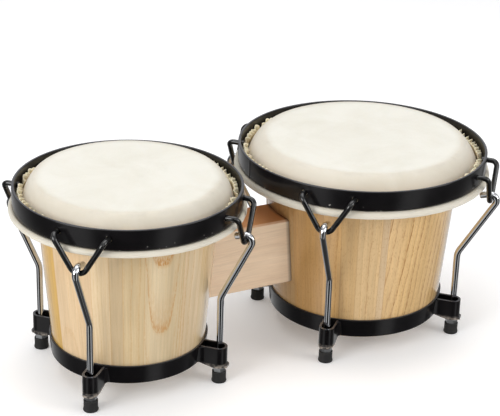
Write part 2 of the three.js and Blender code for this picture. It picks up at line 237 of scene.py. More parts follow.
def rounded_corner(before, corner, after, radius, steps):
    """Points on the arc that rounds off a corner between two others."""
    back, on = (before - corner).normalized(), (after - corner).normalized()
    half = back.angle(on) / 2
    centre = corner + (back + on).normalized() * (radius / math.sin(half))
    reach = radius / math.tan(half)
    return arc(centre, corner + back * reach, corner + on * reach, steps)


def touch_point(point, centre, radius, side):
    """Where a line from a point touches a circle in the XZ plane."""
    away = point - centre
    turn = side * math.acos(radius / away.length)
    return centre + Matrix.Rotation(turn, 3, (0, -1, 0)) @ away.normalized() * radius


def rounded_ends(path, radius, steps=3):
    """Adds points near a wire's two ends, and returns the path with a scale that rounds them off."""
    first, last = path[0], path[-1]
    edge = 0.35 * radius
    tip = 0.72

    def swell(point, _):
        gap = min((point - first).length, (point - last).length)
        if gap >= edge:
            return 1
        return tip + (1 - tip) * math.sqrt(1 - (1 - gap / edge) ** 2)

    def stepped(end, inner):
        way = (inner - end).normalized()
        return [end + way * (edge * i / steps) for i in range(steps + 1)]

    return stepped(first, path[1]) + path[1:-1] + stepped(last, path[-2])[::-1], swell


# ---- materials ----
class Nodes:
    """A node tree under construction."""

    def __init__(self, tree):
        self.tree = tree
        self.tree.nodes.clear()

    def feed(self, socket, value):
        """Links a socket to another node's output, or sets it. A colour may come without its alpha."""
        if isinstance(value, bpy.types.NodeSocket):
            self.tree.links.new(value, socket)
        elif socket.type == "RGBA" and len(value) == 3:
            socket.default_value = (*value, 1)
        else:
            socket.default_value = value

    def node(self, kind, *inputs, sockets=None, **settings):
        """A new node. Its first inputs are given in order, and its sockets by name or number."""
        made = self.tree.nodes.new("ShaderNode" + kind)
        for key, value in settings.items():
            setattr(made, key, value)
        for key, value in [*enumerate(inputs), *(sockets or {}).items()]:
            self.feed(made.inputs[key], value)
        return made

    def math(self, operation, *inputs):
        return self.node("Math", *inputs, operation=operation).outputs[0]

    def plus(self, a, b):
        return self.math("ADD", a, b)

    def minus(self, a, b):
        return self.math("SUBTRACT", a, b)

    def times(self, value, *factors):
        for factor in factors:
            value = self.math("MULTIPLY", value, factor)
        return value

    def scaled(self, value, factor, offset):
        return self.math("MULTIPLY_ADD", value, factor, offset)

    def distance(self, a, b):
        return self.math("ABSOLUTE", self.minus(a, b))

    def split(self, vector):
        return self.node("SeparateXYZ", vector).outputs

    def ramp(self, value, *stops, stepped=False):
        """A band of colours or greys, smooth or stepped. Each stop is (position, colour or grey)."""
        made = self.node("ValToRGB", value)
        band = made.color_ramp
        if stepped:
            band.interpolation = "CONSTANT"
        while len(band.elements) < len(stops):
            band.elements.new(0.5)
        for element, (position, colour) in zip(band.elements, stops):
            element.position = position
            element.color = (*colour, 1) if isinstance(colour, tuple) else (colour, colour, colour, 1)
        return made.outputs[0]

    def mix(self, share, a, b, blend="MIX"):
        """Mixes colour b into colour a by a share."""
        sockets = {0: share, 6: a, 7: b}
        return self.node("Mix", sockets=sockets, data_type="RGBA", blend_type=blend).outputs[2]


class Paint(Nodes):
    """A material under construction."""

    def __init__(self, name):
        self.material = bpy.data.materials.new(name)
        self.material.use_nodes = True
        super().__init__(self.material.node_tree)
        self.output = self.node("OutputMaterial")
        self.place = self.node("TexCoord").outputs["Object"]

    def noise(self, scale, detail=3, roughness=0.55, distortion=0.0, place=None):
        sockets = {"Vector": place or self.place, "Scale": scale, "Detail": detail,
                   "Roughness": roughness, "Distortion": distortion}
        return self.node("TexNoise", sockets=sockets).outputs["Fac"]

    def chance(self, value, seed):
        """A random number from 0 to 1 for each whole number."""
        moved = self.plus(value, seed)
        return self.node("TexWhiteNoise", sockets={"W": moved}, noise_dimensions="1D").outputs["Value"]

    def vector(self, x, y, z):
        return self.node("CombineXYZ", x, y, z).outputs[0]

    def mapped(self, scale, location=(0, 0, 0)):
        """A point's own place, scaled and moved."""
        sockets = {"Vector": self.place, "Scale": scale, "Location": location}
        return self.node("Mapping", sockets=sockets).outputs[0]

    def streaks(self, across, along, seed, detail, roughness=0.55):
        """Noise over a surface. Across and along are (measure, scale), and seed shifts the pattern."""
        spot = self.vector(self.times(*across), self.times(*along), seed)
        return self.noise(1, detail, roughness, place=spot)

    def from_axis(self, drum):
        """A point's measures from the foot of a drum's axis."""
        return self.split(self.mapped((1, 1, 1), (-drum.x, 0, 0)))

    def axis_distance(self, drum):
        x, y, _ = self.from_axis(drum)
        return self.node("VectorMath", self.vector(x, y, 0), operation="LENGTH").outputs["Value"]

    def height(self):
        return self.split(self.place)[2]

    def facing_up(self):
        """The upward part of the surface's normal."""
        return self.split(self.node("TexCoord").outputs["Normal"])[2]

    def bump(self, height, strength, distance):
        sockets = {"Strength": strength, "Distance": distance, "Height": height}
        return self.node("Bump", sockets=sockets).outputs[0]

    def finish(self, **inputs):
        """Closes the material with a principled shader, whose inputs are named with underscores."""
        shader = self.node("BsdfPrincipled")
        lookup = {socket.name.lower().replace(" ", "_"): socket for socket in shader.inputs}
        for key, value in inputs.items():
            self.feed(lookup[key], value)
        self.tree.links.new(shader.outputs[0], self.output.inputs["Surface"])
        return self.material


# A stave's first angle in degrees, its tone, its figure, the angle of its heart and its number.
Stave = namedtuple("Stave", "start tone figure heart number")
# How straight, arched and rising a figure's growth lines are, and how dark they get.
Figure = namedtuple("Figure", "lines darkness")
FIGURES = {
    "fine": Figure((0.75, 0, 0.515), 0.24),
    "straight": Figure((0.36, 0, 0.485), 0.42),
    "leaning": Figure((0.38, 0, 0.394), 0.95),
    "arched": Figure((0, 0.40, 0.405), 0.95),
    "flame": Figure((0, 0.55, 0.60), 0.32),
    "plain": Figure((0.12, 0, 0.52), 0.16),
}
# Growth lines per metre round the shell, per fourth power of a metre and per metre of height.
STRAIGHT_LINES = 400
ARCHED_LINES = 4.8e7
RISING_LINES = 160
# A band has room for 32 staves. Their numbers are spread from 0 to 1, and give each its own seed.
LAST_NUMBER = 31
SEED_STEP = 7.3
# The width of a glue line, as a share of a turn.
GLUE_WIDTH = 0.0011


def numbered(rows):
    return [Stave(*row, i / LAST_NUMBER) for i, row in enumerate(rows)]


def stave_band(paint, share, staves, pick):
    """A stepped band round a drum: what pick reads from each stave, from its first angle on."""
    stops = [(stave.start / 360, pick(stave)) for stave in staves]
    return paint.ramp(share, *stops, stepped=True)


def grain_field(paint, around, z, figure):
    """Numbers the growth lines: straight, leaning or in tall arches about the heart of a stave."""
    straight, arched, rising = paint.split(figure)
    wobble = paint.streaks((around, 22), (z, 9), 0, 2)
    x = paint.plus(around, paint.scaled(wobble, 0.012, -0.006))
    lines = paint.times(x, paint.times(straight, STRAIGHT_LINES))
    square = paint.times(x, x)
    arches = paint.times(paint.times(square, square), paint.times(arched, ARCHED_LINES))
    climb = paint.times(z, paint.scaled(rising, RISING_LINES, -RISING_LINES / 2))
    return paint.plus(paint.plus(lines, arches), climb)


def growth_lines(paint, around, z, seed, figure, strength):
    """How dark the growth lines are: each has its late edge, its own luck and breaks along it."""
    field = grain_field(paint, around, z, figure)
    number, within = paint.math("FLOOR", field), paint.math("FRACT", field)
    late = paint.ramp(within, (0.0, 0.6), (0.06, 0.0), (0.38, 0.0), (0.84, 0.35), (0.94, 1.0), (1.0, 0.8))
    luck = paint.math("POWER", paint.chance(number, seed), 1.4)
    darkness = paint.times(paint.scaled(luck, 0.75, 0.25), strength)
    dash = paint.streaks((around, 900), (z, 240), seed, 2, 0.5)
    broken = paint.ramp(dash, (0.36, 0.25), (0.56, 1.0))
    return paint.times(late, darkness, broken)


def glue_lines(paint, share, number, staves):
    """1 at the joints, where the stave a little before has another number."""
    before = stave_band(paint, paint.minus(share, GLUE_WIDTH), staves, lambda s: s.number)
    step = paint.distance(paint.split(before)[0], number)
    return paint.math("GREATER_THAN", step, 0.5 / LAST_NUMBER)


def stave_wood(name, drum, staves, line_colour, pore_share):
    """Lacquered staves round a shell, with their own tones, grain, pores and dark glue lines."""
    paint = Paint(name)
    x, y, z = paint.from_axis(drum)
    angle = paint.plus(paint.math("ARCTAN2", y, x), 2 * TURN)
    share = paint.math("FRACT", paint.math("DIVIDE", angle, TURN))
    tone = stave_band(paint, share, staves, lambda s: s.tone)
    figure = stave_band(paint, share, staves, lambda s: FIGURES[s.figure].lines)
    marks = stave_band(paint, share, staves,
                       lambda s: (s.heart / 360, FIGURES[s.figure].darkness, s.number))
    heart, strength, number = paint.split(marks)
    middle_radius = (drum.shell_top_radius + drum.shell_bottom_radius) / 2
    around = paint.times(paint.minus(share, heart), TURN * middle_radius)
    seed = paint.times(number, LAST_NUMBER * SEED_STEP)

    fibre = paint.streaks((around, 520), (z, 14), seed, 4, 0.62)
    colour = paint.mix(0.65, tone, paint.ramp(fibre, (0.28, 0.80), (0.72, 1.12)), "MULTIPLY")
    cloud = paint.streaks((around, 60), (z, 10), seed, 3)
    tint = paint.ramp(cloud, (0.3, (0.84, 0.80, 0.74)), (0.7, 1.07))
    colour = paint.mix(0.6, colour, tint, "MULTIPLY")
    line = growth_lines(paint, around, z, seed, figure, strength)
    colour = paint.mix(paint.times(line, 1.6), colour, line_colour)
    pores = paint.ramp(paint.streaks((around, 1500), (z, 330), seed, 2, 0.5), (0.58, 0.0), (0.68, 1.0))
    colour = paint.mix(paint.times(pores, pore_share), colour, line_colour)
    glue = glue_lines(paint, share, number, staves)
    colour = paint.mix(paint.times(glue, 0.38), colour, line_colour)

    height = paint.minus(paint.times(fibre, 0.4), paint.plus(glue, line))
    return paint.finish(base_color=colour, roughness=paint.ramp(fibre, (0.3, 0.36), (0.7, 0.26)),
                        normal=paint.bump(height, 0.12, 0.3 * MM), coat_weight=1.0,
                        coat_roughness=0.05, coat_ior=1.5)


def contact_shade_line(paint):
    """Painted shade: a dark line where the block meets the large shell."""
    at_floor, metre_up = LARGE.shell_radius(0), LARGE.shell_radius(1)
    wall = paint.scaled(paint.height(), metre_up - at_floor, at_floor)
    gap = paint.minus(paint.axis_distance(LARGE), wall)
    return paint.ramp(gap, (0.4 * MM, 0.85), (1.4 * MM, 0.0))


def bare_wood(name, tones, line_colour, top_stain_and_shade_colour, contact_shade_colour):
    """Sanded wood with its grain along X, a darker, more orange top of stain with painted shade and
    reflection, and painted contact shade at the large shell.
    """
    paint = Paint(name)
    _, y, z = paint.split(paint.place)
    wobble = paint.noise(1, 2, place=paint.mapped((8, 14, 14)))
    field = paint.times(paint.plus(paint.scaled(y, 0.8, z), paint.times(wobble, 0.022)), 130)
    late = paint.ramp(paint.math("FRACT", field),
                      (0.0, 0.4), (0.12, 0.0), (0.5, 0.0), (0.95, 1.0), (1.0, 0.4))
    cloud = paint.noise(1, 4, 0.6, place=paint.mapped((12, 40, 40)))
    colour = paint.ramp(cloud, *tones)
    darkness = paint.times(paint.chance(paint.math("FLOOR", field), 5.5), 0.12)
    colour = paint.mix(paint.times(late, darkness), colour, line_colour)
    fine = paint.noise(1, 4, 0.65, place=paint.mapped((30, 800, 800)))
    colour = paint.mix(0.45, colour, paint.ramp(fine, (0.3, 0.80), (0.7, 1.1)), "MULTIPLY")
    specks = paint.noise(1, 2, place=paint.mapped((130, 1600, 1600)))
    pores = paint.ramp(specks, (0.64, 0.0), (0.74, 1.0))
    colour = paint.mix(paint.times(pores, 0.22), colour, line_colour)
    # The top is tinted darker and more orange: part stain, part painted shade and a painted reflection of
    # the wood around it.
    top = paint.ramp(paint.facing_up(), (0.5, 0.0), (0.9, 1.0))
    colour = paint.mix(paint.times(top, 0.8), colour, top_stain_and_shade_colour)
    # Painted contact shade where the block meets the large shell.
    colour = paint.mix(contact_shade_line(paint), colour, contact_shade_colour)
    normal = paint.bump(paint.plus(fine, paint.times(late, 0.3)), 0.3, 0.4 * MM)
    return paint.finish(base_color=colour, roughness=0.66, normal=normal)


# The skin is shaded over this height, from a crown that ends this far inside the shell's edge.
SKIN_SPAN = 28 * MM
CROWN_INSET = 10.6 * MM
# Where the skirt turns under the crown, as a share of the span.
CREASE = 0.42


def below_crown(paint):
    """How far a point lies below the crown, as a share of the skin's span."""
    return paint.math("DIVIDE", paint.minus(SMALL.head_top, paint.height()), SKIN_SPAN)


def past_crown(paint, drum):
    """How far a point lies past the crown, outwards and down, as a share of the skin's span."""
    crown = drum.shell_top_radius - CROWN_INSET
    out = paint.math("MAXIMUM", paint.minus(paint.axis_distance(drum), crown), 0)
    return paint.plus(paint.math("DIVIDE", out, SKIN_SPAN), below_crown(paint))


def hide(name, stops, measure, smudging):
    """Dry rawhide: its colour follows a measure of the skin, with smudges along the crease."""
    paint = Paint(name)
    mottle = paint.noise(42, 5, 0.62)
    shade = paint.plus(measure(paint), paint.scaled(mottle, 0.2, -0.1))
    colour = paint.ramp(shade, *stops)
    patches = paint.noise(19, 5, 0.65, 0.5)
    stain = paint.ramp(patches, (0.34, (0.93, 0.915, 0.88)), (0.6, 1.02))
    colour = paint.mix(0.8, colour, stain, "MULTIPLY")
    near = paint.ramp(paint.distance(shade, CREASE), (0.0, 1.0), (0.16, 0.0))
    smudge = paint.ramp(paint.noise(75, 4, 0.6), (0.48, 0.0), (0.66, 1.0))
    colour = paint.mix(paint.times(near, smudge, smudging), colour, (0.55, 0.51, 0.44))
    flecks = paint.ramp(paint.noise(520, 2), (0.66, 0.0), (0.74, 1.0))
    colour = paint.mix(paint.times(flecks, 0.16), colour, (0.58, 0.48, 0.34))
    fine, wrinkled = paint.noise(900, 3, 0.6), paint.noise(60, 3, 0.5)
    normal = paint.bump(paint.plus(paint.times(fine, 0.3), wrinkled), 0.22, 0.8 * MM)
    rough = paint.ramp(mottle, (0.3, 0.46), (0.7, 0.62))
    return paint.finish(base_color=colour, roughness=rough, normal=normal, subsurface_weight=0.1,
                        subsurface_radius=(0.004, 0.003, 0.002), sheen_weight=0.08, sheen_roughness=0.5)


def powder_coat(name, chip_height, sole_height):
    """Black satin powder coat: chipped at one height, with a thin patchy light brown line at another and a
    painted highlight on faces that look up.
    """
    paint = Paint(name)
    z = paint.height()
    peel = paint.noise(900, 2)
    cloud = paint.noise(35, 3)
    colour = paint.ramp(cloud, (0.3, (0.0022, 0.0018, 0.0022)), (0.7, (0.005, 0.004, 0.005)))
    low = paint.ramp(paint.distance(z, chip_height), (0.0, 1.0), (0.9 * MM, 0.0))
    chips = paint.ramp(paint.noise(330, 1), (0.73, 0.0), (0.75, 1.0))
    colour = paint.mix(paint.times(chips, low), colour, (0.62, 0.60, 0.56))
    sole = paint.ramp(paint.distance(z, sole_height), (0.1 * MM, 1.0), (0.3 * MM, 0.0))
    patchy = paint.ramp(paint.noise(260, 2), (0.4, 0.1), (0.6, 0.75))
    colour = paint.mix(paint.times(sole, patchy), colour, (0.45, 0.39, 0.33))
    # Painted highlight: faces that look up are lightened to a blue-grey, as if they catch the light from
    # above.
    top_highlight = paint.ramp(paint.facing_up(), (0.75, 0.0), (0.98, 0.8))
    colour = paint.mix(top_highlight, colour, (0.055, 0.055, 0.065))
    rough = paint.ramp(cloud, (0.3, 0.34), (0.7, 0.46))
    return paint.finish(base_color=colour, roughness=rough, normal=paint.bump(peel, 0.12, 0.2 * MM),
                        specular_ior_level=0.2, coat_weight=0.55, coat_roughness=0.13)


def gloss_coat(name):
    """Gloss black coating on wire, with faint clouding."""
    paint = Paint(name)
    cloud = paint.noise(120, 3)
    colour = paint.ramp(cloud, (0.3, 0.002), (0.7, 0.005))
    rough = paint.ramp(cloud, (0.3, 0.24), (0.7, 0.34))
    return paint.finish(base_color=colour, roughness=rough, normal=paint.bump(cloud, 0.08, 0.3 * MM),
                        specular_ior_level=0.25, coat_weight=1.0, coat_roughness=0.06)


def bright_metal(name, light, dark, smooth, rough):
    """Plated steel with faint clouding and a little unevenness."""
    paint = Paint(name)
    cloud = paint.noise(55, 4, 0.6)
    colour = paint.ramp(cloud, (0.3, dark), (0.7, light))
    fine = paint.noise(480, 3, 0.6)
    roughness = paint.ramp(fine, (0.35, smooth), (0.7, rough))
    return paint.finish(base_color=colour, metallic=1.0, roughness=roughness,
                        normal=paint.bump(cloud, 0.04, 0.6 * MM))


def moulded_rubber(name):
    """Matt black rubber, dustier near the floor."""
    paint = Paint(name)
    grain = paint.noise(1400, 2)
    dust = paint.noise(130, 4, 0.65)
    low = paint.ramp(paint.height(), (0.0, 1.0), (4 * MM, 0.25))
    share = paint.times(paint.ramp(dust, (0.45, 0.0), (0.75, 0.6)), low)
    colour = paint.mix(share, (0.012, 0.012, 0.012), (0.075, 0.07, 0.065))
    return paint.finish(base_color=colour, roughness=paint.ramp(dust, (0.3, 0.55), (0.7, 0.8)),
                        normal=paint.bump(grain, 0.3, 0.2 * MM), sheen_weight=0.1, sheen_roughness=0.4)


PALE_STAVES = numbered([
    (0, (0.65, 0.49, 0.28), "straight", 12), (28, (0.69, 0.55, 0.35), "arched", 46),
    (63, (0.59, 0.42, 0.22), "fine", 80), (88, (0.68, 0.52, 0.33), "straight", 104),
    (119, (0.72, 0.58, 0.39), "arched", 136), (152, (0.69, 0.49, 0.26), "plain", 160),
    (168, (0.67, 0.41, 0.09), "straight", 176), (191, (0.73, 0.54, 0.33), "flame", 200),
    (222, (0.70, 0.54, 0.33), "fine", 228), (234, (0.59, 0.45, 0.27), "plain", 238),
    (243, (0.62, 0.48, 0.28), "straight", 248), (257, (0.62, 0.49, 0.30), "arched", 269.5),
    (285, (0.71, 0.56, 0.36), "straight", 292), (301, (0.75, 0.59, 0.36), "fine", 310),
    (322, (0.63, 0.45, 0.24), "straight", 340),
])
GOLDEN_STAVES = numbered([
    (0, (0.58, 0.37, 0.16), "leaning", 14), (33, (0.64, 0.44, 0.22), "fine", 48),
    (66, (0.55, 0.35, 0.16), "arched", 82), (98, (0.62, 0.43, 0.21), "straight", 112),
    (131, (0.68, 0.48, 0.27), "plain", 146), (160, (0.56, 0.36, 0.16), "straight", 178),
    (196, (0.58, 0.345, 0.13), "fine", 208), (217, (0.64, 0.40, 0.165), "straight", 226),
    (228, (0.60, 0.395, 0.18), "plain", 234), (239, (0.68, 0.48, 0.25), "straight", 246),
    (253, (0.63, 0.46, 0.27), "fine", 255), (257, (0.71, 0.48, 0.22), "leaning", 280),
    (304, (0.68, 0.46, 0.22), "fine", 318), (330, (0.62, 0.41, 0.19), "straight", 345),
])
BLOCK_TONES = [(0.3, (0.78, 0.57, 0.39)), (0.5, (0.84, 0.64, 0.45)), (0.7, (0.88, 0.69, 0.50))]
CROWN = (0.79, 0.77, 0.69)
SKIN_STOPS = [(0.0, CROWN), (0.09, CROWN), (0.21, (0.75, 0.725, 0.64)), (0.33, (0.68, 0.635, 0.54)),
              (0.42, (0.67, 0.625, 0.53)), (0.8, (0.69, 0.635, 0.53)), (1.0, (0.68, 0.61, 0.50))]
EDGE_STOPS = [(0.0, (0.97, 0.91, 0.72)), (0.45, (0.95, 0.86, 0.62)), (0.7, (0.78, 0.62, 0.36)),
              (0.92, (0.62, 0.58, 0.49)), (1.0, (0.65, 0.61, 0.52))]
WOOD_SMALL = stave_wood("lacquered_pale_staves", SMALL, PALE_STAVES, (0.50, 0.25, 0.065), 0.12)
WOOD_LARGE = stave_wood("lacquered_golden_staves", LARGE, GOLDEN_STAVES, (0.36, 0.165, 0.04), 0.42)
# Of the block's last two colours, the first tints its top, part stain and part painted shade, and the
# second is painted contact shade at the large shell.
WOOD_BLOCK = bare_wood("sanded_block_wood", BLOCK_TONES, (0.34, 0.17, 0.08), (0.74, 0.28, 0.06),
                       (0.06, 0.03, 0.015))
HIDE_SMALL = hide("rawhide_small", SKIN_STOPS, lambda paint: past_crown(paint, SMALL), 0.4)
HIDE_LARGE = hide("rawhide_large", SKIN_STOPS, lambda paint: past_crown(paint, LARGE), 0.4)
HIDE_EDGE = hide("rawhide_cut_edge", EDGE_STOPS, below_crown, 0.0)
BLACK_STEEL = powder_coat("black_powder_coat", SMALL.rim_bottom + 0.5 * MM, BRACKET_LOW + 0.1 * MM)
GLOSS_BLACK = gloss_coat("gloss_black_wire")
CHROME = bright_metal("chrome_plating", (0.80, 0.81, 0.83), (0.66, 0.67, 0.69), 0.06, 0.11)
ZINC = bright_metal("dull_zinc_plating", (0.58, 0.59, 0.60), (0.42, 0.43, 0.44), 0.28, 0.45)
RUBBER = moulded_rubber("moulded_rubber")


# ---- pieces ----
def place_on(piece, matrix, body, node):
    """Moves a finished piece to its place, on its body, instead of its CAD node."""
    piece.data.transform(matrix)
    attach(piece, body)
    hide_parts(node)


def wander(seed, terms):
    """A smooth function round a circle, from -1 to 1, made of a few seeded waves."""
    source = random.Random(seed)
    waves = [(n, source.uniform(0, TURN), source.uniform(0.4, 1)) for n in terms]
    total = sum(size for _, _, size in waves)
    return lambda angle: sum(size * math.sin(n * angle + phase) for n, phase, size in waves) / total


def catmull_rom(a, b, c, d, t):
    """A number between b and c, on the curve through all four."""
    return 0.5 * (2 * b + (c - a) * t + (2 * a - 5 * b + 4 * c - d) * t * t
                  + (3 * b - a - 3 * c + d) * t ** 3)


def smooth_line(points, steps):
    """A Catmull-Rom curve through (radius, z) points."""
    curve = []
    for i in range(len(points) - 1):
        four = [points[max(i - 1, 0)], points[i], points[i + 1], points[min(i + 2, len(points) - 1)]]
        for k in range(steps):
            curve.append(tuple(catmull_rom(*values, k / steps) for values in zip(*four)))
    curve.append(points[-1])
    return curve


def inset_line(points, distance):
    """A (radius, z) line moved sideways to its right by a distance."""
    moved = []
    for i, (r, z) in enumerate(points):
        before, after = points[max(i - 1, 0)], points[min(i + 1, len(points) - 1)]
        dr, dz = after[0] - before[0], after[1] - before[1]
        length = math.hypot(dr, dz)
        moved.append((r + dz / length * distance, z - dr / length * distance))
    return moved


def skin_line(drum, end):
    """The skin's top side: a flat centre, a bulging skirt and a tail out to the roll."""
    edge = drum.shell_top_radius - 1.6 * MM
    spread = drum.rim_radius - 7.7 * MM - edge
    drop = drum.head_top - SKIRT_END
    flat = [(edge * share, drum.head_top) for share in (0.25, 0.5, 0.75, 0.92)]
    shares = [(0, 0), (0.16, 0.045), (0.38, 0.17), (0.62, 0.38), (0.84, 0.66), (1, 1)]
    bulge = [(edge + across * spread, drum.head_top - down * drop) for across, down in shares]
    foot = bulge[-1][0]
    flare = [(0.34, 0.6), (0.67, 0.87), (1, 1)]
    tail = [(foot + out * (end[0] - foot), SKIRT_END - down * (SKIRT_END - end[1])) for out, down in flare]
    return flat + smooth_line(bulge + tail, 5)


def playing_skin(drum, material, seed):
    """The stretched head: a flat centre, a round shoulder over the shell and a bulging skirt."""
    end = (drum.tuck_centre[0] - drum.tuck_radius - CLEARANCE, drum.tuck_centre[1])
    outer = skin_line(drum, end)
    inner = inset_line(outer, SKIN_THICKNESS)
    lumps = wander(seed, (3, 5, 8, 13, 21))
    puckers = wander(seed + 1, (34, 47, 59, 72))

    def shape(angle, radius, z):
        down = clamped((drum.head_top - z) / (drum.head_top - SKIRT_END))
        free = clamped((z - end[1]) / (SKIRT_END - end[1]))
        grow = 1.5 * lumps(angle) * down * (1 - down) + 0.35 * puckers(angle) * down * down * free
        return radius + grow * MM, z

    profile = [(0, drum.head_top - SKIN_THICKNESS)] + inner + outer[::-1] + [(0, drum.head_top)]
    piece = lathe(drum.name + "_playing_skin", profile, 240, material, shape)
    piece.data.transform(drum.place)
    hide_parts(drum.name + "_head_skin")
    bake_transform(piece)


def near_hook_end(angle, drum):
    """How close an angle is to a hook's end, from 0, far, to 1, at it."""
    offset = math.asin(HOLE_OFFSET / drum.rim_radius)
    gap = min(abs(signed(angle - math.radians(lug) - side * offset)) * drum.rim_radius
              for lug in LUG_ANGLES for side in (-1, 1))
    full, fade = 3.4 * MM, 2.5 * MM
    return max(0, 1 - max(0, gap - full) / fade)


def tucked_line(drum, top):
    """The middle of the tucked skin's section: round the hoop, under the rim and up inside it."""
    tube = drum.tuck_radius - SKIN_THICKNESS / 2
    outside, bottom = drum.rim_radius, drum.rim_bottom
    roll = [round_point(drum.tuck_centre, tube, degrees) for degrees in range(165, 500, 15)]
    under = [(outside - 2.5 * MM, bottom - 0.98 * MM), (outside - 3.6 * MM, bottom - 0.75 * MM)]
    rise = [(outside - (4.1 + 2.9 * i / 10) * MM, bottom + (top - bottom) * i / 10) for i in range(11)]
    return roll + under + rise


def pleated(drum, top, pleats, seed):
    """The shape of the tucked skin: uneven pleats, tallest at the cut edge and low by the hooks."""
    source = random.Random(seed)
    sizes = [source.uniform(0.6, 1.05) for _ in range(pleats)]
    rises = [source.uniform(-1.8, 1.2) * MM for _ in range(pleats)]
    bends = [source.uniform(-1.1, 1.1) for _ in range(pleats)]
    lumps = wander(seed + 2, (4, 7, 11, 18, 31, 44))
    bottom = drum.rim_bottom

    def pick(values, angle):
        place = angle / TURN * pleats
        index, share = int(place) % pleats, place % 1
        return values[index] * (1 - share) + values[(index + 1) % pleats] * share

    def shape(angle, radius, z):
        up = clamped((z - bottom) / (top - bottom))
        away = near_hook_end(angle, drum)
        fold = angle * pleats + pick(bends, angle) * up
        wave = (math.sin(fold) + 0.3 * math.sin(2 * fold + 0.8)) * pick(sizes, angle) / 1.15
        radius += 2.3 * MM * wave * up ** 0.6 * (1 - 0.7 * away)
        lift = (pick(rises, angle) + 1.5 * MM * math.cos(fold)) * up ** 2
        height = bottom + (z - bottom) * (1 - 0.62 * away) if up else z
        roll = 0.18 * MM * lumps(angle) if not up else 0
        return radius + roll, height + lift * (1 - away) - abs(roll) * 0.6

    return shape


def tucked_skin(drum, seed):
    """The skin rolled round the flesh hoop, with a pleated cut edge inside the rim."""
    top = drum.rim_top - 5.4 * MM
    line = tucked_line(drum, top)
    left = inset_line(line, -SKIN_THICKNESS / 2)
    right = inset_line(line, SKIN_THICKNESS / 2)
    pleats = round(TURN * drum.rim_radius / PLEAT_WIDTH)
    piece = lathe(drum.name + "_tucked_skin", right + left[::-1], pleats * 12, HIDE_EDGE,
                  pleated(drum, top, pleats, seed))
    place_on(piece, drum.place, drum.body, drum.name + "_head_collar")


def hole_cutter(drum):
    """One object holding the eight bores for the hooks' ends."""
    points, faces = [], []
    for lug in range(4):
        for side in (-1, 1):
            way = drum.to_lug(lug) @ Matrix.Translation((0, side * HOLE_OFFSET, HOLE_HEIGHT))
            ends = [way @ Vector((drum.rim_radius + reach, 0, 0)) for reach in (-20 * MM, 10 * MM)]
            bore_points, bore_faces = wire_mesh(ends, HOLE_RADIUS, 24)
            faces += [tuple(v + len(points) for v in face) for face in bore_faces]
            points += bore_points
    return make_object(drum.name + "_cutter", points, faces, BLACK_STEEL)


def rolled_edge_profile(inner, outer, bottom, top, soft, steps=4):
    """A band's section with all four edges rounded, counter-clockwise."""
    corners = [((inner + soft, bottom + soft), 180), ((outer - soft, bottom + soft), 270),
               ((outer - soft, top - soft), 0), ((inner + soft, top - soft), 90)]
    return [round_point(centre, soft, start + 90 * i / steps)
            for centre, start in corners for i in range(steps + 1)]


def rim(drum, seam_angle):
    """The steel counterhoop with rounded edges, its butt weld and the holes for the hooks."""
    profile = rolled_edge_profile(drum.rim_radius - RIM_THICKNESS, drum.rim_radius, drum.rim_bottom,
                                  drum.rim_top, 0.8 * MM)
    lumps = wander(3, (2, 3, 5))
    ripples = 4200

    def shape(angle, radius, z):
        gap = signed(angle - math.radians(seam_angle)) * drum.rim_radius
        bead = 0.3 * MM * math.exp(-(gap / MM) ** 2) * (1 + 0.35 * math.sin(z * ripples))
        proud = bead if radius > drum.rim_radius - 0.5 * RIM_THICKNESS else -0.3 * bead
        return radius + proud + 0.12 * MM * lumps(angle), z

    piece = lathe(drum.name + "_counterhoop", profile, 720, BLACK_STEEL, shape)
    piece.data.transform(drum.place)
    combined(piece, [hole_cutter(drum)], "DIFFERENCE")
    soften(piece, 0)
    place_on(piece, Matrix(), drum.body, drum.name + "_rim")


def hook(drum, lug):
    """A wire hook: two arms bent in through the rim's holes and a bend that holds the rod."""
    out = drum.rim_radius + HOOK_OUTSET
    inside_rim = math.sqrt((drum.rim_radius - RIM_THICKNESS) ** 2 - HOLE_OFFSET ** 2)
    inside = Vector((inside_rim - HOOK_REACH, HOLE_OFFSET, HOLE_HEIGHT))
    shoulder = Vector((out, HOLE_OFFSET, HOLE_HEIGHT))
    apex = Vector((out, 0, HOOK_APEX))
    mirror = Matrix.Diagonal((1, -1, 1))
    arm = [inside] + rounded_corner(inside, shoulder, apex, HOOK_TOP_BEND, 8)
    bottom = rounded_corner(shoulder, apex, mirror @ shoulder, HOOK_BOTTOM_BEND, 14)
    path, swell = rounded_ends(arm + bottom + [mirror @ p for p in reversed(arm)], HOOK_WIRE)
    mesh = wire_mesh(path, HOOK_WIRE, WIRE_SIDES, swell)
    piece = make_object(f"{drum.name}_wire_hook_{lug + 1}", *mesh, GLOSS_BLACK)
    place_on(piece, drum.to_lug(lug), f"{drum.name}_hook_link_{lug + 1}",
             f"{drum.name}_hook_{lug + 1}")


def hook_bottom(drum):
    """The middle of the wire at the lowest point of a hook."""
    half = math.atan(HOLE_OFFSET / (HOLE_HEIGHT - HOOK_APEX))
    above_apex = HOOK_BOTTOM_BEND * (1 / math.sin(half) - 1)
    return Vector((drum.rim_radius + HOOK_OUTSET, 0, HOOK_APEX + above_apex))


def rod_path(drum):
    """The rod's middle line: up through the bracket, out to the hook and back round its wire."""
    hold = hook_bottom(drum)
    curl = HOOK_WIRE + ROD_RADIUS + CLEARANCE
    heights = (ROD_END, THREAD_TOP, ROD_BEND_HEIGHT)
    end, thread_top, bend = (Vector((drum.rod_radius, 0, z)) for z in heights)
    stub = Vector((drum.rim_radius - ROD_STUB_INSET, 0, ROD_STUB_HEIGHT))
    outer_touch = touch_point(bend, hold, curl, 1)
    upper_touch = touch_point(stub, hold, curl, -1)
    steps = round((THREAD_TOP - ROD_END) / THREAD_STEP)
    threaded = [end.lerp(thread_top, i / steps) for i in range(steps + 1)]
    return (threaded + rounded_corner(end, bend, outer_touch, ROD_BEND_RADIUS, 10)
            + arc(hold, outer_touch, upper_touch, 16) + [stub])


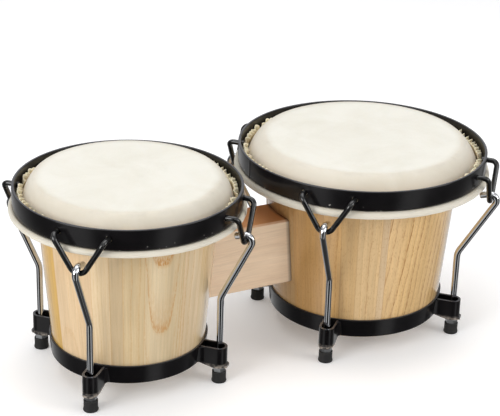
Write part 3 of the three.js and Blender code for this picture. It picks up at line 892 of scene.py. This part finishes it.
def rod(drum, lug):
    """The tuning rod, with a rolled thread on its lower end."""
    path, swell = rounded_ends(rod_path(drum), ROD_RADIUS)

    def threaded_swell(point, k):
        if point.z > THREAD_TOP or point.x > drum.rod_radius + MM:
            return swell(point, k)
        turn = point.z / THREAD_PITCH + k / WIRE_SIDES
        return swell(point, k) * (1 - THREAD_DEPTH + THREAD_DEPTH * math.cos(TURN * turn))

    mesh = wire_mesh(path, ROD_RADIUS, WIRE_SIDES, threaded_swell)
    piece = make_object(f"{drum.name}_tuning_rod_{lug + 1}", *mesh, CHROME)
    place_on(piece, drum.to_lug(lug), f"{drum.name}_rod_link_{lug + 1}",
             f"{drum.name}_rod_{lug + 1}")


def rubber_foot(drum, lug):
    """A moulded cup with a soft lip, a waist and a slightly spread sole."""
    low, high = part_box(drum.name + "_foot_1")
    radius, flare, top = 6.25 * MM, (high.x - low.x) / 2, high.z
    sole = [(0, 0.25 * MM), (3.2 * MM, 0.25 * MM), (3.8 * MM, 0), (flare - 1.0 * MM, 0),
            (flare - 0.3 * MM, 0.25 * MM), (flare, 0.9 * MM), (flare - 0.1 * MM, 1.7 * MM)]
    side = [(radius + 0.1 * MM, 2.6 * MM), (radius - 0.05 * MM, 4.5 * MM), (radius, top - 1.4 * MM)]
    lip = [(radius, top - 0.6 * MM), (radius - 0.4 * MM, top - 0.1 * MM), (radius - 0.9 * MM, top),
           (4.9 * MM, top - 0.2 * MM), (4.8 * MM, top - 0.8 * MM)]
    cup = [(4.8 * MM, 2.4 * MM), (0, 2.4 * MM)]
    piece = lathe(f"{drum.name}_rubber_foot_{lug + 1}", sole + side + lip + cup, 40, RUBBER)
    matrix = drum.to_lug(lug) @ Matrix.Translation((drum.rod_radius, 0, 0))
    place_on(piece, matrix, f"{drum.name}_tuning_nut_{lug + 1}",
             f"{drum.name}_foot_{lug + 1}")


def shell(drum, wood):
    """The tapered shell with eased edges and a rounded bearing edge under the skin."""
    bottom, top = drum.shell_bottom, drum.shell_top
    foot, rim_side = drum.shell_radius(bottom), drum.shell_radius(top)
    inside_top = rim_side - SHELL_WALL - 0.4 * MM
    tapered = top - 3.4 * MM - bottom
    sole = [(foot - SHELL_WALL + MM, bottom), (foot - MM, bottom), (foot - 0.3 * MM, bottom + 0.3 * MM)]
    heights = [bottom + MM] + [bottom + tapered * i / 12 for i in range(1, 13)]
    rise = [(drum.shell_radius(z), z) for z in heights]
    bearing = [(rim_side - 0.7 * MM, top - 1.6 * MM), (rim_side - 1.6 * MM, top - 0.6 * MM),
               (rim_side - 3.2 * MM, top - 0.1 * MM), (rim_side - 4.6 * MM, top - 0.1 * MM)]
    inside = [(inside_top + 0.6 * MM, top - 0.6 * MM), (inside_top, top - 1.6 * MM),
              (foot - SHELL_WALL, bottom + MM)]
    piece = lathe(drum.name + "_stave_shell", sole + rise + bearing + inside, 192, wood)
    place_on(piece, drum.place, "frame",
             drum.name + "_shell")


def prism(name, outline, bottom, top):
    """A steel block: an outline in X and Y, counter-clockwise, raised from one height to another."""
    count = len(outline)
    points = [(x, y, z) for z in (bottom, top) for x, y in outline]
    sides = [(k, (k + 1) % count, (k + 1) % count + count, k + count) for k in range(count)]
    faces = [tuple(reversed(range(count))), tuple(range(count, 2 * count))] + sides
    return make_object(name, points, faces, BLACK_STEEL)


def circle(x, radius, steps=40):
    """An outline round a point on the X axis."""
    return [(x + radius * math.cos(TURN * k / steps), radius * math.sin(TURN * k / steps))
            for k in range(steps)]


def oblong(start, end, half):
    """An outline along the X axis, from a start to an end."""
    return [(start, -half), (end, -half), (end, half), (start, half)]


def combined(piece, others, operation):
    """Joins other pieces to a piece, or cuts them out of it, and removes them."""
    for other in others:
        modifier = piece.modifiers.new("combined", "BOOLEAN")
        modifier.operation = operation
        modifier.solver = "EXACT"
        modifier.object = other
    bpy.context.view_layer.update()
    evaluated = piece.evaluated_get(bpy.context.evaluated_depsgraph_get())
    mesh = bpy.data.meshes.new_from_object(evaluated)
    piece.modifiers.clear()
    piece.data = mesh
    for other in others:
        bpy.data.objects.remove(other)


def bracket_root(band, flare, steps=6):
    """The outline where a bracket's two walls sweep out into the band."""
    sweep = [math.sin(math.pi / 2 * i / steps) for i in range(steps + 1)]
    side = [(band - 2 * MM + (flare + 2 * MM) * s, BRACKET_HALF + flare * (1 - s) ** 1.6) for s in sweep]
    return [(x, -y) for x, y in side] + side[::-1]


def bracket_lip(axis):
    """The outline of the little lip in front of a bracket's floor."""
    half, end = BRACKET_HALF, axis + BRACKET_HALF + 1.2 * MM
    return [(axis, -half + 2 * MM), (end - 2 * MM, -half + 2 * MM), (end, -half + 4 * MM),
            (end, half - 4 * MM), (end - 2 * MM, half - 2 * MM), (axis, half - 2 * MM)]


def bracket_slope(band, axis):
    """A sideways prism that cuts the bracket's underside off on a slant towards the band."""
    front, back, reach = axis - 4 * MM, band - 5 * MM, BRACKET_HALF + 8 * MM
    outline = [(back, -20 * MM), (front, -BRACKET_LOW), (front, 0), (back, 0)]
    slope = prism("slope", outline, -reach, reach)
    slope.data.transform(Matrix.Rotation(-math.pi / 2, 4, "X"))
    return slope


def bracket(drum, lug_angle):
    """A pressed steel bracket: a U round the rod with a pierced floor and a small lip."""
    axis = drum.rod_radius
    band = drum.shell_radius(BAND_HIGH) + CLEARANCE
    low, floor_top, high, over = BRACKET_LOW, BRACKET_FLOOR, BRACKET_HIGH, BRACKET_HIGH + 5 * MM
    body = prism("body", circle(axis, BRACKET_HALF), low, high)
    walls = prism("walls", oblong(band - 4 * MM, axis, BRACKET_HALF), low, high)
    root = prism("root", bracket_root(band, 5 * MM), 20 * MM, high - MM)
    lip = prism("lip", bracket_lip(axis), low, floor_top)
    combined(body, [walls, root, lip], "UNION")
    well = prism("well", circle(axis, BRACKET_SLOT), floor_top, over)
    channel = prism("channel", oblong(band - 8 * MM, axis, BRACKET_SLOT), floor_top, over)
    hole = prism("hole", circle(axis, BRACKET_HOLE, 24), 0, high)
    combined(body, [well, channel, hole, bracket_slope(band, axis)], "DIFFERENCE")
    body.data.transform(Matrix.Rotation(math.radians(lug_angle), 4, "Z"))
    return body


def bottom_band(drum):
    """The steel band round the shell's foot with its four welded brackets."""
    low, high, soft, past = BAND_LOW, BAND_HIGH, 0.4 * MM, 9 * MM
    low_inner, high_inner = (drum.shell_radius(z) + CLEARANCE for z in (low, high))
    low_outer, high_outer = low_inner + BAND_THICKNESS, high_inner + BAND_THICKNESS
    profile = [(low_inner, low), (low_outer - soft, low), (low_outer, low + soft),
               (high_outer, high - soft), (high_outer - soft, high), (high_inner, high)]
    ring = lathe(drum.name + "_foot_band", profile, 240, BLACK_STEEL)
    core_profile = [(0, low - past), (low_inner - 0.01 * MM, low - past), (low_inner, low),
                    (high_inner, high), (high_inner, high + past), (0, high + past)]
    core = lathe("core", core_profile, 240, BLACK_STEEL)
    combined(ring, [bracket(drum, angle) for angle in LUG_ANGLES], "UNION")
    combined(ring, [core], "DIFFERENCE")
    soften(ring, 0.4 * MM)
    place_on(ring, drum.place, "frame", drum.name + "_bottom_band")


def soften(piece, bevel, angle=32):
    """Smooth shading with sharp edges kept and rounded a little."""
    piece.data.shade_smooth()
    piece.data.set_sharp_from_angle(angle=math.radians(angle))
    if bevel:
        modifier = piece.modifiers.new("soft edges", "BEVEL")
        modifier.width = bevel
        modifier.segments = 3
        modifier.limit_method = "ANGLE"
        modifier.angle_limit = math.radians(angle)
        modifier.harden_normals = True


def dress(node, material, bevel=0.0, angle=35):
    """Gives a CAD node its material, soft edges and smooth shading."""
    piece = frame["nodes"][node]
    piece.data.materials.clear()
    piece.data.materials.append(material)
    soften(piece, bevel, angle)


def build_drum(drum, wood, skin, seed, seam_angle):
    """All the pieces of one drum, and the finish of the nodes it keeps."""
    shell(drum, wood)
    playing_skin(drum, skin, seed)
    tucked_skin(drum, seed)
    rim(drum, seam_angle)
    bottom_band(drum)
    dress(drum.name + "_flesh_hoop", ZINC, 0, 70)
    dress(drum.name + "_backing_plate", ZINC, 0.2 * MM)
    for number in (1, 2):
        dress(f"{drum.name}_block_bolt_{number}", ZINC, 0.2 * MM)
    for lug in range(4):
        hook(drum, lug)
        rod(drum, lug)
        rubber_foot(drum, lug)
        dress(f"{drum.name}_nut_{lug + 1}", ZINC, 0.25 * MM)
        dress(f"{drum.name}_washer_{lug + 1}", ZINC, 0.1 * MM)


build_drum(SMALL, WOOD_SMALL, HIDE_SMALL, 21, 60)
build_drum(LARGE, WOOD_LARGE, HIDE_LARGE, 54, 178)
dress("centre_block", WOOD_BLOCK, 0.8 * MM)


# ---- studio ----
# The room's walls, as (share of a turn, brightness), and how far its ceiling and ground reach.
WALLS = [(0.0, 0.03), (0.07, 0.04), (0.10, 0.9), (0.15, 0.9), (0.18, 0.10), (0.27, 0.12), (0.38, 0.7),
         (0.43, 1.1), (0.57, 1.1), (0.62, 0.7), (0.73, 0.12), (0.83, 0.10), (0.86, 1.0), (0.89, 1.0),
         (0.92, 0.04), (1.0, 0.03)]
CEILING = [(0.35, 0.0), (0.7, 1.0)]
GROUND = [(0.78, 0.0), (0.94, 1.0)]
ROOM_TURN = math.radians(27.5)
ROOM_STRENGTH = 0.62
FLOOR_HALF = 12.0
CAMERA_PLACE = (-0.6119, -1.1634, 0.71508)
CAMERA_LENS = 115.57


def area_light(name, location, target, size, power):
    """A white rectangular light aimed at a point."""
    data = bpy.data.lights.new(name, "AREA")
    data.shape = "RECTANGLE"
    data.size, data.size_y = size
    data.energy = power
    light = bpy.data.objects.new(name, data)
    light.location = location
    light.rotation_euler = (Vector(target) - Vector(location)).to_track_quat("-Z", "Y").to_euler()
    bpy.context.scene.collection.objects.link(light)


def floor():
    """A pale floor that glows a little and that plated steel doesn't mirror."""
    paint = Paint("pale_floor")
    colour = paint.ramp(paint.noise(3, 2), (0.3, 0.93), (0.7, 0.95))
    material = paint.finish(base_color=colour, roughness=0.9, emission_color=(1, 1, 1),
                            emission_strength=0.16)
    corners = [(x, y, 0) for x, y in oblong(-FLOOR_HALF, FLOOR_HALF, FLOOR_HALF)]
    ground = make_object("studio_floor", corners, [(0, 1, 2, 3)], material)
    ground.visible_glossy = False


def world():
    """A soft room with dark and bright walls all round, for plated steel to mirror."""
    scene_world = bpy.data.worlds.new("studio_world")
    scene_world.use_nodes = True
    room = Nodes(scene_world.node_tree)
    place = room.node("TexCoord").outputs["Generated"]
    turned = room.node("Mapping", sockets={"Vector": place, "Rotation": (0, 0, ROOM_TURN)}).outputs[0]
    x, y, up = room.split(turned)
    bearing = room.math("ARCTAN2", x, y)
    turn = room.node("MapRange", bearing, -math.pi, math.pi).outputs[0]
    colour = room.ramp(turn, *WALLS)
    colour = room.mix(room.ramp(up, *CEILING), colour, (0.9, 0.9, 0.92))
    colour = room.mix(room.ramp(room.times(up, -1.0), *GROUND), colour, (0.06, 0.06, 0.06))
    shade = room.node("Background", sockets={"Color": colour, "Strength": ROOM_STRENGTH})
    room.node("OutputWorld", shade.outputs[0])
    bpy.context.scene.world = scene_world


def camera():
    """The photograph's point of view: a long lens from the small drum's side, a little rolled."""
    yaw, pitch, roll = math.radians(27.54), math.radians(-23.98), 0.03
    ahead = Vector((math.sin(yaw) * math.cos(pitch), math.cos(yaw) * math.cos(pitch), math.sin(pitch)))
    level = Vector((math.cos(yaw), -math.sin(yaw), 0))
    above = level.cross(ahead)
    right = level * math.cos(roll) + above * math.sin(roll)
    up = above * math.cos(roll) - level * math.sin(roll)
    data = bpy.data.cameras.new("photo_camera")
    data.lens = CAMERA_LENS
    data.sensor_width = 36
    data.clip_end = 50
    view = bpy.data.objects.new("photo_camera", data)
    turned = Matrix((right, up, -ahead)).transposed().to_4x4()
    view.matrix_world = Matrix.Translation(CAMERA_PLACE) @ turned
    bpy.context.scene.collection.objects.link(view)
    bpy.context.scene.camera = view


floor()
world()
area_light("left", (-1.9, -0.5, 0.9), (-0.05, 0, 0.1), (1.3, 1.1), 25)
area_light("right", (1.4, -1.5, 0.9), (0.05, 0, 0.1), (1.0, 1.1), 15)
area_light("front", (-0.3, -2.0, 1.3), (0, 0, 0.1), (1.6, 1.0), 5)
area_light("top", (0.1, 0.3, 2.0), (0, 0, 0.1), (2.0, 1.6), 17)
camera()
bpy.context.scene.view_settings.view_transform = "Standard"
bpy.context.scene.view_settings.look = "None"
